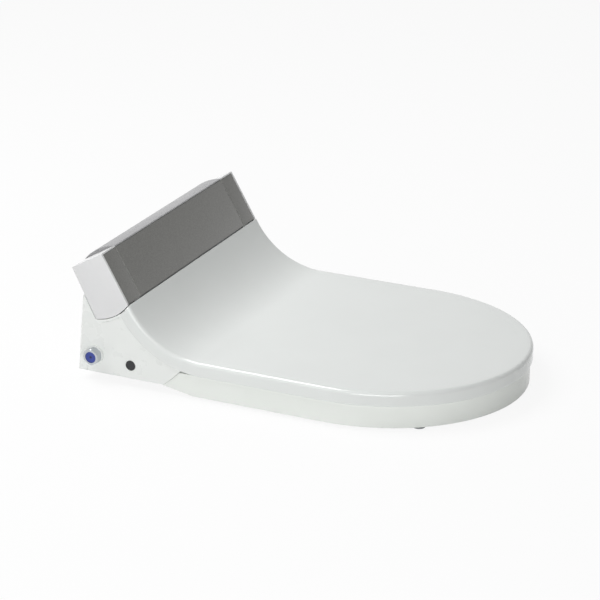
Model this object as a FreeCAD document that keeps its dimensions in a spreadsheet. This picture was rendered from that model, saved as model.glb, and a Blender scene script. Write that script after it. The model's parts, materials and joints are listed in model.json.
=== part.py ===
import FreeCAD, Part
import math
import os
import Sketcher

# Electric bidet seat. Frame: X across the seat, front towards -Y, Z up. The origin lies on the top of the
# toilet's ceramic, midway between its two seat fixing holes. Lengths in millimetres, angles in degrees.

doc = FreeCAD.newDocument("BidetSeat")
sheet = doc.addObject("Spreadsheet::Sheet", "Sizes")

SIZES = [
    # overall outline
    ("lid_half_width", 187.5), ("case_half_width", 185), ("straight_end", 267.6), ("nose_length", 202.9),
    # hinge axis and control box, whose face leans back by box_lean and sits on a round cradle
    ("hinge_back", 59), ("hinge_up", 151.5), ("box_lean", 30), ("box_front", 27), ("box_back_top", 24),
    ("box_back_low", 28), ("box_top", 16.5), ("box_radius", 64), ("box_half", 150), ("crown", 5),
    ("panel_thick", 2), ("box_wall", 2.5), ("seam", 0.3), ("swing_gap", 0.8),
    # lid
    ("lid_top", 52.8), ("lid_rim", 19.1), ("bend_start", 97.5), ("bend_radius", 115), ("bend_tail", 22),
    ("lid_wall", 3.5), ("skirt_wall", 4.5), ("lid_round", 5.5), ("lid_rear_radius", 65.5),
    # seat ring
    ("ring_half_width", 184), ("band_low", 3.5), ("band_top", 33), ("crown_inset", 4.5), ("crown_top", 44),
    ("hole_half_width", 112), ("hole_half_length", 137), ("hole_centre", 265), ("ring_wall", 3.5),
    ("rear_lift_start", 85), ("rear_lift_end", 36), ("rear_lift", 12.5), ("bridge_low", 31.5),
    ("seam_radius", 172), ("plate_gap", 1.2), ("plate_thick", 2.5),
    ("arm_start", 150.8), ("arm_width", 12), ("arm_tall", 10), ("arm_boss", 11), ("arm_turn", 225),
    ("buffer_radius", 8), ("buffer_x", 138), ("buffer_front", 382), ("buffer_rear", 165),
    # hinge pins and bushes
    ("pin_radius", 5), ("pin_fit", 0.06), ("bush_radius", 8), ("pin_start", 140), ("pin_end", 180.5),
    ("cap_wall", 3), ("housing_wall", 2.2), ("arm_bay_end", 165), ("tongue_start", 168),
    ("tongue_end", 180), ("tongue_thick", 2.4),
    # base shell
    ("case_low", 12.5), ("case_crest", 118), ("case_back", 82.6), ("case_back_lean", 5.4), ("case_wall", 3),
    ("back_plate_inset", 4), ("slit_radius", 68.3), ("slit_width", 0.5), ("slit_depth", 0.8),
    # tray and mounting plate
    ("tray_half", 150), ("tray_front", 28), ("tray_rear", 70), ("tray_floor", 2.5), ("tray_wall", 3),
    ("fixing_pitch", 155), ("slot_radius", 5.5), ("slot_length", 25), ("plate_half", 110),
    ("plate_front", 22), ("plate_rear", 32), ("mount_thick", 6),
    # nozzle housing, wand and its drive
    ("nose_half", 115), ("nose_front", 118), ("nose_low", 4), ("nose_top", 30), ("nose_wall", 2.5),
    ("wand_radius", 5.5), ("wand_length", 184), ("wand_tip_front", 112), ("wand_tip_up", 8.6),
    ("wand_fall", 14), ("guide_side", 18), ("guide_start", 78), ("guide_length", 66), ("wand_fit", 0.08),
    ("gear_module", 1), ("gear_teeth", 12), ("gear_wide", 5), ("gear_station", 108),
    # dryer
    ("fan_radius", 30), ("fan_wide", 26), ("fan_x", 80), ("fan_back", 25), ("fan_up", 49),
    ("impeller_radius", 23), ("duct_wide", 30), ("duct_low", 15.5), ("duct_tall", 12),
    # water parts
    ("inlet_back", 57.4), ("inlet_up", 37.5), ("collar_radius", 12.5), ("nut_flats", 20.5),
    ("nut_length", 10.5), ("plug_radius", 7.5), ("pipe_radius", 5), ("power_back", 5),
    ("power_up", 30.7), ("power_radius", 6.9), ("power_flat", 4), ("button_back", -4), ("button_up", 26),
    ("button_radius", 9), ("screw_radius", 1.6), ("screw_x", 172),
]
for row, (alias, value) in enumerate(SIZES, start=1):
    sheet.set("A%d" % row, alias)
    sheet.set("B%d" % row, str(value))
    sheet.setAlias("B%d" % row, alias)
doc.recompute()

V = FreeCAD.Vector
ACROSS = V(1, 0, 0)
nodes = {}


def size(expression):
    """The value, now, of an expression written in the sheet's aliases."""
    return float(sheet.evalExpression(full(expression)))


def full(expression):
    """The expression with each alias written as a reference to the sheet."""
    text = " %s " % expression
    out = ""
    word = ""
    for letter in text:
        if letter.isalnum() or letter == "_":
            word += letter
            continue
        out += "Sizes." + word if word in ALIASES else word
        out += letter
        word = ""
    return out.strip()


ALIASES = {alias for alias, _ in SIZES}


def bind(thing, **sizes):
    """Ties properties of one object to expressions in the sheet."""
    for name, expression in sizes.items():
        thing.setExpression(name, full(str(expression)))
    return thing


def place(thing, x="0", y="0", z="0", axis=None, turn="0"):
    """Puts an object at a point given by expressions, turned about an axis by an angle expression."""
    if axis is not None:
        thing.Placement = FreeCAD.Placement(V(0, 0, 0), FreeCAD.Rotation(axis, size(turn)))
        if axis == -ACROSS or axis == ACROSS:
            thing.setExpression("Placement.Rotation.Angle", full(turn))
    thing.setExpression("Placement.Base.x", full(x))
    thing.setExpression("Placement.Base.y", full(y))
    thing.setExpression("Placement.Base.z", full(z))
    return thing


def box(name, x, y, z, dx, dy, dz):
    """A block by its low corner and its three sizes, all as expressions."""
    block = bind(doc.addObject("Part::Box", name), Length=dx, Width=dy, Height=dz)
    return place(block, x, y, z)


def rod(name, x, y, z, radius, length, axis="x"):
    """A cylinder that starts at a point and runs along +X, +Y or +Z."""
    cylinder = bind(doc.addObject("Part::Cylinder", name), Radius=radius, Height=length)
    spin = {"x": (V(0, 1, 0), 90), "y": (V(1, 0, 0), -90), "z": (V(0, 0, 1), 0)}[axis]
    cylinder.Placement = FreeCAD.Placement(V(0, 0, 0), FreeCAD.Rotation(*spin))
    cylinder.setExpression("Placement.Base.x", full(x))
    cylinder.setExpression("Placement.Base.y", full(y))
    cylinder.setExpression("Placement.Base.z", full(z))
    return cylinder


def cut(name, base, *tools):
    """What is left of the base once the tools are taken away."""
    result = doc.addObject("Part::Cut", name)
    result.Base = base
    result.Tool = tools[0] if len(tools) == 1 else join(name + "_tools", *tools)
    return result


def join(name, *parts):
    """One solid made of several that overlap or touch."""
    result = doc.addObject("Part::MultiFuse", name)
    result.Shapes = list(parts)
    return result


def common(name, first, second):
    """What two solids share."""
    result = doc.addObject("Part::Common", name)
    result.Base = first
    result.Tool = second
    return result


def group(name, *parts):
    """Separate solids of one kind, kept together."""
    result = doc.addObject("Part::Compound", name)
    result.Links = list(parts)
    return result


def node(name, thing):
    """Names a finished sub-part."""
    thing.Label = name
    nodes[name] = thing
    return thing


def profile(name, plane, corners, start, length):
    """A closed outline of lines and arcs, padded at right angles to its plane.

    A corner is (u, v) or (u, v, radius): with a radius, the side to the next corner is an arc of that
    size, bulging to the right of the way of travel, or to the left where the radius starts with '-'.
    """
    body = doc.addObject("PartDesign::Body", name)
    sketch = body.newObject("Sketcher::SketchObject", name + "_outline")
    support = [item for item in body.Origin.OriginFeatures if item.Role == plane][0]
    sketch.AttachmentSupport = [(support, "")]
    sketch.MapMode = "FlatFace"
    points = [V(size(corner[0]), size(corner[1]), 0) for corner in corners]
    count = len(corners)
    starts = []
    for index, corner in enumerate(corners):
        first = points[index]
        last = points[(index + 1) % count]
        if len(corner) == 2:
            sketch.addGeometry(Part.LineSegment(first, last), False)
            starts.append((1, 2))
            continue
        radius = size(corner[2].lstrip("-"))
        side = -1 if corner[2].startswith("-") else 1
        chord = last - first
        right = V(chord.y, -chord.x, 0).normalize() * side
        rise = radius - math.sqrt(radius ** 2 - chord.Length ** 2 / 4)
        middle = (first + last) / 2 + right * rise
        turning = (first, middle, last) if side > 0 else (last, middle, first)
        sketch.addGeometry(Part.Arc(*turning), False)
        starts.append((1, 2) if side > 0 else (2, 1))
    for index in range(count):
        after = (index + 1) % count
        ends = (index, starts[index][1], after, starts[after][0])
        sketch.addConstraint(Sketcher.Constraint("Coincident", *ends))
    for index, corner in enumerate(corners):
        at = (-1, 1, index, starts[index][0])
        across = sketch.addConstraint(Sketcher.Constraint("DistanceX", *at, points[index].x))
        sketch.setExpression("Constraints[%d]" % across, full(corner[0]))
        along = sketch.addConstraint(Sketcher.Constraint("DistanceY", *at, points[index].y))
        sketch.setExpression("Constraints[%d]" % along, full(corner[1]))
        if len(corner) == 3:
            text = corner[2].lstrip("-")
            bow = sketch.addConstraint(Sketcher.Constraint("Radius", index, size(text)))
            sketch.setExpression("Constraints[%d]" % bow, full(text))
    sketch.setExpression(".AttachmentOffset.Base.z", full(start))
    pad = body.newObject("PartDesign::Pad", name + "_pad")
    pad.Profile = sketch
    pad.setExpression("Length", full(length))
    body.Tip = pad
    return body


def at_hinge(thing, x="0"):
    """Puts something drawn in the control box's own frame at the hinge axis, leaning back."""
    return place(thing, x, "hinge_back", "hinge_up", -ACROSS, "box_lean")


def mirror(name, thing):
    """The other side's copy of a part."""
    copy = doc.addObject("Part::Mirroring", name)
    copy.Source = thing
    copy.Normal = ACROSS
    return copy


def outline(name, inset, low, high, rear="90"):
    """The plan of lid and ring: straight sides and a half-elliptical nose, as an upright block."""
    wide = "(lid_half_width - (%s))" % inset
    deep = "(nose_length - (%s))" % inset
    curve = doc.addObject("Part::Ellipse", name + "_curve")
    long_nose = size(deep) >= size(wide)
    bind(curve, MajorRadius=deep if long_nose else wide, MinorRadius=wide if long_nose else deep)
    curve.Placement = FreeCAD.Placement(V(0, 0, 0), FreeCAD.Rotation(V(0, 0, 1), 90 if long_nose else 0))
    place(curve, "0", "-straight_end", low)
    nose = doc.addObject("Part::Extrusion", name + "_nose")
    nose.Base = curve
    nose.Dir = V(0, 0, 1)
    nose.Solid = True
    bind(nose, LengthFwd="(%s) - (%s)" % (high, low))
    tall = "(%s) - (%s)" % (high, low)
    length = "(%s) + straight_end" % rear
    sides = box(name + "_sides", "-" + wide, "-straight_end", low, "2 * " + wide, length, tall)
    reach = "straight_end + nose_length"
    limit = box(name + "_limit", "-" + wide, "-(%s)" % reach, low, "2 * " + wide, "(%s) + %s" % (rear, reach), tall)
    return common(name, join(name + "_plan", nose, sides), limit)


def oval(name, wide, deep, low, high):
    """The bowl opening: an upright elliptical block."""
    curve = doc.addObject("Part::Ellipse", name + "_curve")
    long_way = size(deep) >= size(wide)
    bind(curve, MajorRadius=deep if long_way else wide, MinorRadius=wide if long_way else deep)
    curve.Placement = FreeCAD.Placement(V(0, 0, 0), FreeCAD.Rotation(V(0, 0, 1), 90 if long_way else 0))
    place(curve, "0", "-hole_centre", low)
    block = doc.addObject("Part::Extrusion", name)
    block.Base = curve
    block.Dir = V(0, 0, 1)
    block.Solid = True
    return bind(block, LengthFwd="(%s) - (%s)" % (high, low))


BEND_UP = "(lid_top + bend_radius)"


def under_bend(name, radius, tail_low, half):
    """Everything below a surface that runs level, bends up by (90 - lean) and ends in a straight tail.

    The surface keeps one distance from the bend's centre line, so lid, ring and base nest in each other.
    """
    rise_y = "(-bend_start + (%s) * cos(box_lean))" % radius
    rise_z = "(%s - (%s) * sin(box_lean))" % (BEND_UP, radius)
    level = "(%s - (%s))" % (BEND_UP, radius)
    reach = "(straight_end + nose_length + 20)"
    corners = [
        ("-" + reach, tail_low), ("200", tail_low), ("200", "%s + bend_tail * cos(box_lean)" % rise_z),
        ("%s + bend_tail * sin(box_lean)" % rise_y, "%s + bend_tail * cos(box_lean)" % rise_z),
        (rise_y, rise_z, "-" + radius), ("-bend_start", level), ("-" + reach, level),
    ]
    return profile(name, "YZ_Plane", corners, "-(%s)" % half, "2 * (%s)" % half)


def box_outline(name, grow, start, length, top="box_top"):
    """The control box's own section: flat face, round underside, leaning back, flat top."""
    front = "-(box_front + (%s))" % grow
    back = "(box_back_low + (%s))" % grow
    radius = "(box_radius + (%s))" % grow
    corners = [
        (front, "-sqrt(pow(%s; 2) - pow(%s; 2))" % (radius, front), radius),
        (back, "-sqrt(pow(%s; 2) - pow(%s; 2))" % (radius, back)),
        ("box_back_top + (%s)" % grow, top), (front, top),
    ]
    return profile(name, "YZ_Plane", corners, start, length)


# ---- lid: bent shell with a skirt, closed over the ring and swinging about the hinge axis

def outer_edges(shape, up):
    """Indices of the edges that run round the lid's or ring's upper face."""
    found = []
    for index, edge in enumerate(shape.Edges, start=1):
        if edge.Length < 4:
            continue
        middle = edge.valueAt((edge.FirstParameter + edge.LastParameter) / 2)
        level = size("bend_radius") + size("lid_top") - size(up)
        centre_y = -size("bend_start")
        centre_z = size(BEND_UP)
        if middle.y <= centre_y:
            on_face = abs(middle.z - size(up)) < 0.01
        else:
            away = math.hypot(middle.y - centre_y, middle.z - centre_z)
            tail_turn = math.radians(size("box_lean"))
            tail = (middle.y - centre_y) * math.cos(tail_turn) - (middle.z - centre_z) * math.sin(tail_turn)
            on_face = abs(away - level) < 0.01 or abs(tail - level) < 0.01
        sideways = abs(edge.tangentAt(edge.FirstParameter).x) < 0.999
        if on_face and (sideways or abs(middle.x) < 1 and middle.y < -size("straight_end")):
            found.append(index)
    return found


def rounded(name, base, indices, radius):
    """A rounding of one size along a set of edges."""
    doc.recompute()
    fillet = doc.addObject("Part::Fillet", name)
    fillet.Base = base
    fillet.Edges = [(index, size(radius), size(radius)) for index in indices]
    return fillet


def lid_block(name, wall, skirt, low):
    """The lid's outer block, or with a wall and skirt the hollow inside it."""
    plan = outline(name + "_plan", skirt, low, "hinge_up")
    return common(name, plan, under_bend(name + "_top", "bend_radius + (%s)" % wall, low, "lid_half_width"))


lid_block_outer = lid_block("lid_outer", "0", "0", "0")
doc.recompute()
lid_edges = outer_edges(lid_block_outer.Shape, "lid_top")
lid_soft = rounded("lid_soft", lid_block_outer, lid_edges, "lid_round")
lid_under = under_bend("lid_under", "bend_radius + lid_rim", "-10", "lid_half_width + 1")
lid_hollow = lid_block("lid_hollow", "lid_wall", "skirt_wall", "-1")
lid_sweep = rod("lid_sweep", "-200", "hinge_back", "hinge_up", "lid_rear_radius", "400")
lid_plate = cut("lid_plate", lid_soft, lid_under, lid_hollow, lid_sweep)


def hinge_block(name, x, low_back, low_up, wide, deep, tall):
    """A block drawn in the control box's leaning frame."""
    corners = [(low_back, low_up), ("(%s) + (%s)" % (low_back, deep), low_up),
               ("(%s) + (%s)" % (low_back, deep), "(%s) + (%s)" % (low_up, tall)),
               (low_back, "(%s) + (%s)" % (low_up, tall))]
    return at_hinge(profile(name, "YZ_Plane", corners, x, wide))


STRIP_BACK = "-(box_front - panel_thick)"
TONGUE_WIDE = "(tongue_end - tongue_start)"


def tongue(name, x):
    """A strap under the lid's rear edge that reaches up behind an end strip and carries the lid's end."""
    root = hinge_block(name + "_root", x, "-box_front", "-(lid_rear_radius + 8)", TONGUE_WIDE,
                       "panel_thick + tongue_thick", "lid_rear_radius + 8 - 60.5")
    strap = hinge_block(name + "_strap", x, STRIP_BACK, "-(lid_rear_radius + 8)", TONGUE_WIDE,
                        "tongue_thick", "lid_rear_radius - 25")
    return [root, strap]


tongues = tongue("tongue_right", "tongue_start") + tongue("tongue_left", "-tongue_end")
lid_shell = node("lid_shell", join("lid_shell", lid_plate, *tongues))


# ---- the lid's two ends, which turn with it beside the fixed control box

END_WIDE = "(case_half_width - box_half - seam)"


def end_housing(name, side):
    """A light end cap: outer wall, top and front ledge, with a round boss for its hinge bush."""
    near = "box_half + seam"
    block = box_outline(name + "_block", "0", near, END_WIDE)
    hollow = box_outline(name + "_hollow", "-housing_wall", near + " - 1",
                         END_WIDE + " + 1 - cap_wall", "box_top - housing_wall")
    front = hinge_cut(name + "_front", near + " - 1", "-(box_front + 1)", "-box_radius",
                      END_WIDE + " + 1 - cap_wall", "panel_thick + 1", "box_radius + box_top - 2")
    bay = hinge_cut(name + "_bay", near + " - 1", "-(box_front - panel_thick - housing_wall)",
                    "-(box_radius + 6)", "arm_bay_end - box_half - seam + 1",
                    "box_front + box_back_low + 10", "box_radius + 16")
    gate = hinge_cut(name + "_gate", "arm_bay_end - 0.5", "-(box_front - panel_thick + 0.5)",
                     "-(box_radius + 6)", "case_half_width - cap_wall - arm_bay_end + 0.5",
                     "tongue_thick + 1", "box_radius - 20")
    boss = rod(name + "_boss", "arm_bay_end + 2", "0", "0", "arm_boss", "case_half_width - arm_bay_end - 4")
    seat = rod(name + "_seat", "arm_bay_end + 1", "0", "0", "bush_radius",
               "case_half_width - cap_wall - arm_bay_end - 1")
    shell = cut(name + "_shell", block, hollow, front, bay, gate)
    whole = cut(name + "_whole", join(name + "_joined", shell, boss), seat)
    return end_at(name, whole, side)


def hinge_cut(name, x, back, up, wide, deep, tall):
    """A cutting block in the leaning frame, left at its own origin."""
    return box(name, x, back, up, wide, deep, tall)


def end_at(name, thing, side):
    """Sets a right-hand end part at the hinge axis, or its mirror image on the left."""
    placed = group(name, thing) if side > 0 else group(name, mirror(name + "_mirror", thing))
    return node(name, at_hinge(placed))


def end_strip(name, side):
    """The dark strip that carries the control panel's face on over the lid's end."""
    plate = box(name + "_plate", "box_half + seam", "-box_front", "-sqrt(pow(box_radius; 2) - pow(box_front; 2))",
                END_WIDE + " - cap_wall - 0.05", "panel_thick",
                "box_top - 2 + sqrt(pow(box_radius; 2) - pow(box_front; 2))")
    return end_at(name, plate, side)


def bush_pair(name, start, length):
    """A plain bearing sleeve on each side, running on the hinge pins."""
    sleeves = []
    for side in (1, -1):
        low = start if side > 0 else "-(%s) - (%s)" % (start, length)
        tag = name + ("_right" if side > 0 else "_left")
        sleeve = rod(tag + "_sleeve", low, "hinge_back", "hinge_up", "bush_radius", length)
        bore = rod(tag + "_bore", low + " - 1", "hinge_back", "hinge_up", "pin_radius + pin_fit",
                   "(%s) + 2" % length)
        sleeves.append(cut(tag, sleeve, bore))
    return node(name, group(name, *sleeves))


end_housing("lid_end_right", 1)
end_housing("lid_end_left", -1)
end_strip("end_strip_right", 1)
end_strip("end_strip_left", -1)
bush_pair("lid_hinge_bushes", "arm_bay_end + 2", "case_half_width - cap_wall - arm_bay_end - 2")
bush_pair("seat_hinge_bushes", "arm_start", "arm_width")


def pads(name, places, low, tall, radius):
    """Rubber pads, one upright disc per place, each side."""
    discs = []
    for number, (x, y) in enumerate(places):
        for sign in ("", "-"):
            discs.append(rod("%s_%d%s" % (name, number, "l" if sign else "r"), sign + x, y, low, radius, tall, "z"))
    return node(name, group(name, *discs))


pads("lid_buffers", [("buffer_x", "-buffer_front + 40"), ("buffer_x + 10", "-buffer_rear")],
     "crown_top + 0.4", "lid_top - lid_wall - crown_top - 0.4", "buffer_radius - 1")


# ---- seat: ring with its bridge and curved rear plate, closed underneath by a flat plate

def ring_block():
    """The ring as one block: band, raised crown, bowl opening and the curved plate behind it."""
    band = outline("ring_band", "lid_half_width - ring_half_width", "band_low", "band_top")
    crown = outline("ring_crown", "lid_half_width - ring_half_width + crown_inset", "band_top - 6", "hinge_up")
    low = ring_lift()
    top = under_bend("ring_top", "bend_radius + lid_top - crown_top", "band_low", "ring_half_width + 1")
    hole = oval("ring_hole", "hole_half_width", "hole_half_length", "0", "80")
    plan = join("ring_plan", band, crown)
    case_turn = rod("case_turn", "-200", "hinge_back", "hinge_up", "seam_radius + seam", "400")
    over_case = under_bend("over_case", "bend_radius + lid_rim - plate_gap", "-50", "201")
    behind = cut("behind_seam", case_turn, over_case_void(over_case))
    reach = rod("rear_reach", "-201", "hinge_back", "hinge_up", "lid_rear_radius + 0.5", "402")
    under_bridge = box("under_bridge", "-(nose_half + 3)", "-(nose_front + 22)", "-1", "2 * (nose_half + 3)",
                       "200", "bridge_low + 1")
    solid = common("ring_solid", plan, top)
    return cut("ring_block", solid, low, hole, behind, reach, under_bridge)


def over_case_void(surface):
    """The space above a nesting surface, as a block."""
    space = box("over_case_space", "-202", "-300", "-60", "404", "500", "400")
    return cut("over_case_void", space, surface)


def ring_lift():
    """What is taken off under the ring's rear ends, so that its lower edge rises towards the hinge."""
    corners = [("-rear_lift_start", "-5"), ("100", "-5"), ("100", "rear_lift"), ("-rear_lift_end", "rear_lift"),
               ("-rear_lift_start", "band_low")]
    return profile("ring_lift", "YZ_Plane", corners, "-201", "402")


def ring_hollow():
    """The space inside the ring, open underneath."""
    inset = "lid_half_width - ring_half_width + ring_wall + crown_inset"
    plan = outline("hollow_plan", inset, "-1", "crown_top - ring_wall", "-nose_front - 20")
    core = oval("hollow_core", "hole_half_width + ring_wall", "hole_half_length + ring_wall", "-2", "80")
    return cut("ring_hollow", plan, core)


def arm(name, x):
    """One arm from the curved plate up to a hinge pin, with a round eye for its bush."""
    corners = []
    for along, side in (("0", "-"), ("lid_rear_radius + 12", "-"), ("lid_rear_radius + 12", "+"), ("0", "+")):
        other = "+" if side == "-" else "-"
        across = "hinge_back + (%s) * cos(arm_turn) %s arm_tall / 2 * sin(arm_turn)" % (along, other)
        height = "hinge_up + (%s) * sin(arm_turn) %s arm_tall / 2 * cos(arm_turn)" % (along, side)
        corners.append((across, height))
    bar = profile(name + "_bar", "YZ_Plane", corners, x, "arm_width")
    eye = rod(name + "_eye", x, "hinge_back", "hinge_up", "arm_boss", "arm_width")
    return [bar, eye]


def seat_ring():
    """The ring, its bridge, curved plate and two hinge arms."""
    ring = cut("ring_open", ring_block(), ring_hollow())
    arms = arm("arm_right", "arm_start") + arm("arm_left", "-(arm_start + arm_width)")
    eyes = rod("arm_eyes", "-200", "hinge_back", "hinge_up", "bush_radius", "400")
    return node("seat_ring", cut("seat_ring", join("ring_and_arms", ring, *arms), eyes))


seat_ring()


def seat_base_plate():
    """The flat plate that closes the ring from underneath."""
    inset = "lid_half_width - ring_half_width + ring_wall + crown_inset"
    plan = outline("plate_plan", inset + " + 0.1", "band_low", "band_low + plate_thick",
                   "-nose_front - 20.1")
    core = oval("plate_core", "hole_half_width + ring_wall + 0.1", "hole_half_length + ring_wall + 0.1", "-2", "80")
    return node("seat_base_plate", cut("seat_base_plate", plan, core))


def seat_heater():
    """The flat heating foil that lies against the inside of the ring's top."""
    inset = "lid_half_width - ring_half_width + ring_wall + crown_inset + 8"
    plan = outline("heater_plan", inset, "crown_top - ring_wall - 1", "crown_top - ring_wall", "-nose_front - 40")
    core = oval("heater_core", "hole_half_width + ring_wall + 8", "hole_half_length + ring_wall + 8", "-2", "80")
    return node("seat_heater", cut("seat_heater", plan, core))


seat_base_plate()
seat_heater()
pads("seat_buffers", [("buffer_x", "-buffer_front"), ("buffer_x + 10", "-buffer_rear")], "0",
     "band_low", "buffer_radius")


# ---- base: white shell with two cheeks and a round cradle for the control box

def case_block(name, inset, low, back):
    """The base shell's outer form, or the same form drawn in by a wall."""
    lean = "tan(case_back_lean)"
    reach = "(%s - (%s))" % (back, inset)
    crest = "case_crest - (%s)" % inset
    corners = [("-140", low), (reach, low), ("%s - (case_crest - case_low) * %s" % (reach, lean), crest),
               ("-140", crest)]
    half = "(case_half_width - (%s))" % inset
    block = profile(name + "_block", "YZ_Plane", corners, "-" + half, "2 * " + half)
    turn = rod(name + "_turn", "-200", "hinge_back", "hinge_up", "seam_radius - (%s)" % inset, "400")
    bend = rod(name + "_bend", "-200", "-bend_start", BEND_UP, "bend_radius + lid_rim + seam + (%s)" % inset, "400")
    cradle = cradle_tool(name + "_cradle", inset)
    return cut(name, common(name + "_round", block, turn), bend, cradle)


def cradle_tool(name, inset):
    """The trough in which the control box and the lid's ends sit and turn."""
    round_part = rod(name + "_round", "-201", "hinge_back", "hinge_up", "box_radius + swing_gap + (%s)" % inset, "402")
    grow = "(swing_gap + (%s))" % inset
    corners = [("-120", "-120"), ("box_back_low + " + grow, "-120"),
               ("box_back_low + " + grow, "-box_radius + 8"), ("box_back_top + " + grow, "box_top"),
               ("box_back_top + " + grow, "80"), ("-120", "80")]
    ahead = at_hinge(profile(name + "_ahead", "YZ_Plane", corners, "-202", "404"))
    return common(name, round_part, ahead)


def slit(name, side):
    """The fine line in a cheek that follows the control box's turning circle."""
    x = "case_half_width - slit_depth" if side > 0 else "-case_half_width - 1"
    wide = "slit_depth + 1"
    outer = rod(name + "_outer", x, "hinge_back", "hinge_up", "slit_radius + slit_width / 2", wide)
    inner = rod(name + "_inner", x, "hinge_back", "hinge_up", "slit_radius - slit_width / 2", wide)
    reach = box(name + "_reach", x, "hinge_back - 42", "hinge_up - 72", wide, "29", "30")
    return common(name, cut(name + "_ring", outer, inner), reach)


SIDE_INLET = ("-200", "inlet_back", "inlet_up")
SIDE_POWER = ("-200", "power_back", "power_up")
SIDE_BUTTON = ("100", "button_back", "button_up")


def base_shell():
    """The white shell, open underneath and at the back."""
    solid = case_block("case_outer", "0", "case_low", "case_back")
    hollow = case_block("case_inner", "case_wall", "case_low - 2", "case_back + 30")
    inlet = rod("inlet_hole", *SIDE_INLET, "collar_radius - 3", "60")
    power = rod("power_hole", *SIDE_POWER, "power_radius + 0.1", "60")
    button = rod("button_hole", *SIDE_BUTTON, "button_radius + 0.4", "120")
    doorway = box("doorway", "-(nose_half + 0.1)", "-nose_front", "case_low - 3", "2 * (nose_half + 0.1)",
                  "nose_front - 20", "nose_top - case_low + 3.1")
    seam_line = box("rear_seam", "-case_half_width - 1", "tray_rear - 0.2", "case_low - 1", "1.6", "0.4", "7.5")
    mirror_line = box("rear_seam_right", "case_half_width - 0.6", "tray_rear - 0.2", "case_low - 1",
                      "1.6", "0.4", "7.5")
    return node("base_shell", cut("base_shell", solid, hollow, inlet, power, button, doorway, seam_line,
                                  mirror_line, slit("slit_right", 1), slit("slit_left", -1)))


def rear_cover():
    """The plate that closes the back of the shell, between its side walls."""
    half = "(case_half_width - case_wall - 0.1)"
    lean = "tan(case_back_lean)"
    back = "(case_back - back_plate_inset)"
    tall = "(case_crest - case_wall - case_low)"
    corners = [(back + " - case_wall", "case_low + 0.2"), (back, "case_low + 0.2"),
               ("%s - %s * %s" % (back, tall, lean), "case_low + " + tall),
               ("%s - case_wall - %s * %s" % (back, tall, lean), "case_low + " + tall)]
    plate = profile("rear_plate", "YZ_Plane", corners, "-" + half, "2 * " + half)
    return node("rear_cover", cut("rear_cover", plate, cradle_tool("rear_cradle", "case_wall + 0.2")))


base_shell()
rear_cover()


def screw_places():
    """Where the six case screws stand."""
    return [(sign + "screw_x", y) for sign in ("", "-") for y in ("-22", "20", "40")]


def base_tray():
    """The floor of the unit with the low skirt that stands on the ceramic."""
    half = "(case_half_width - case_wall - 0.1)"
    floor = box("tray_floor_block", "-" + half, "-tray_front - 6", "case_low", "2 * " + half,
                "tray_rear + tray_front + 6", "tray_floor")
    skirt = box("tray_skirt", "-tray_half", "-tray_front", "0", "2 * tray_half", "tray_rear + tray_front",
                "case_low + 1")
    inside = box("tray_inside", "-(tray_half - tray_wall)", "-(tray_front - tray_wall)", "-1",
                 "2 * (tray_half - tray_wall)", "tray_rear + tray_front - 2 * tray_wall", "case_low + 1")
    ribs = [box("tray_rib_%d" % number, x, "-(tray_front - 1)", "mount_thick + 0.2", "2.5",
                "tray_rear + tray_front - 2", "case_low - mount_thick") for number, x in
            enumerate(("-60", "57.5"))]
    holes = [rod("tray_hole_%d" % number, x, y, "case_low - 1", "screw_radius + 0.1", "20", "z")
             for number, (x, y) in enumerate(screw_places())]
    pan = cut("tray_pan", join("tray_solid", floor, skirt), inside)
    return node("base_tray", cut("base_tray", join("tray_ribbed", pan, *ribs), *holes))


def mounting_plate():
    """The plate bolted to the ceramic: two slots for the fixing bolts, and two ribs' grooves on top."""
    plate = box("plate_block", "-plate_half", "-plate_front", "0", "2 * plate_half", "plate_front + plate_rear",
                "mount_thick")
    slots = []
    for sign in ("", "-"):
        for end in ("-", "+"):
            x = "%sfixing_pitch / 2 %s (slot_length / 2 - slot_radius)" % (sign, end)
            slots.append(rod("slot_%d" % len(slots), x, "0", "-1", "slot_radius", "20", "z"))
        low = "%sfixing_pitch / 2 - (slot_length / 2 - slot_radius)" % sign
        slots.append(box("slot_%d" % len(slots), low, "-slot_radius", "-1", "slot_length - 2 * slot_radius",
                         "2 * slot_radius", "20"))
    return node("mounting_plate", cut("mounting_plate", plate, *slots))


def case_screws():
    """Six screws up through the tray into the shell's bosses."""
    screws = []
    for number, (x, y) in enumerate(screw_places()):
        head = rod("screw_head_%d" % number, x, y, "case_low - 2", "2 * screw_radius", "2", "z")
        shank = rod("screw_shank_%d" % number, x, y, "case_low - 2", "screw_radius", "14", "z")
        screws.append(join("screw_%d" % number, head, shank))
    return node("case_screws", group("case_screws", *screws))


def shell_bosses():
    """Six hollow posts that take the case screws, standing on the tray against the shell's sides."""
    posts = []
    for number, (x, y) in enumerate(screw_places()):
        post = rod("post_%d" % number, x, y, "case_low + tray_floor", "3.5 * screw_radius", "16", "z")
        web = box("post_web_%d" % number, "-(case_half_width - case_wall)" if x.startswith("-") else x,
                  "%s - 1.2" % y, "case_low + tray_floor", "case_half_width - case_wall - screw_x", "2.4", "16")
        hole = rod("post_hole_%d" % number, x, y, "case_low", "screw_radius", "14.5", "z")
        posts.append(cut("boss_%d" % number, join("post_body_%d" % number, post, web), hole))
    return node("shell_bosses", group("shell_bosses", *posts))


base_tray()
mounting_plate()
case_screws()
shell_bosses()


# ---- control box, fixed between the lid's ends

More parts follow.
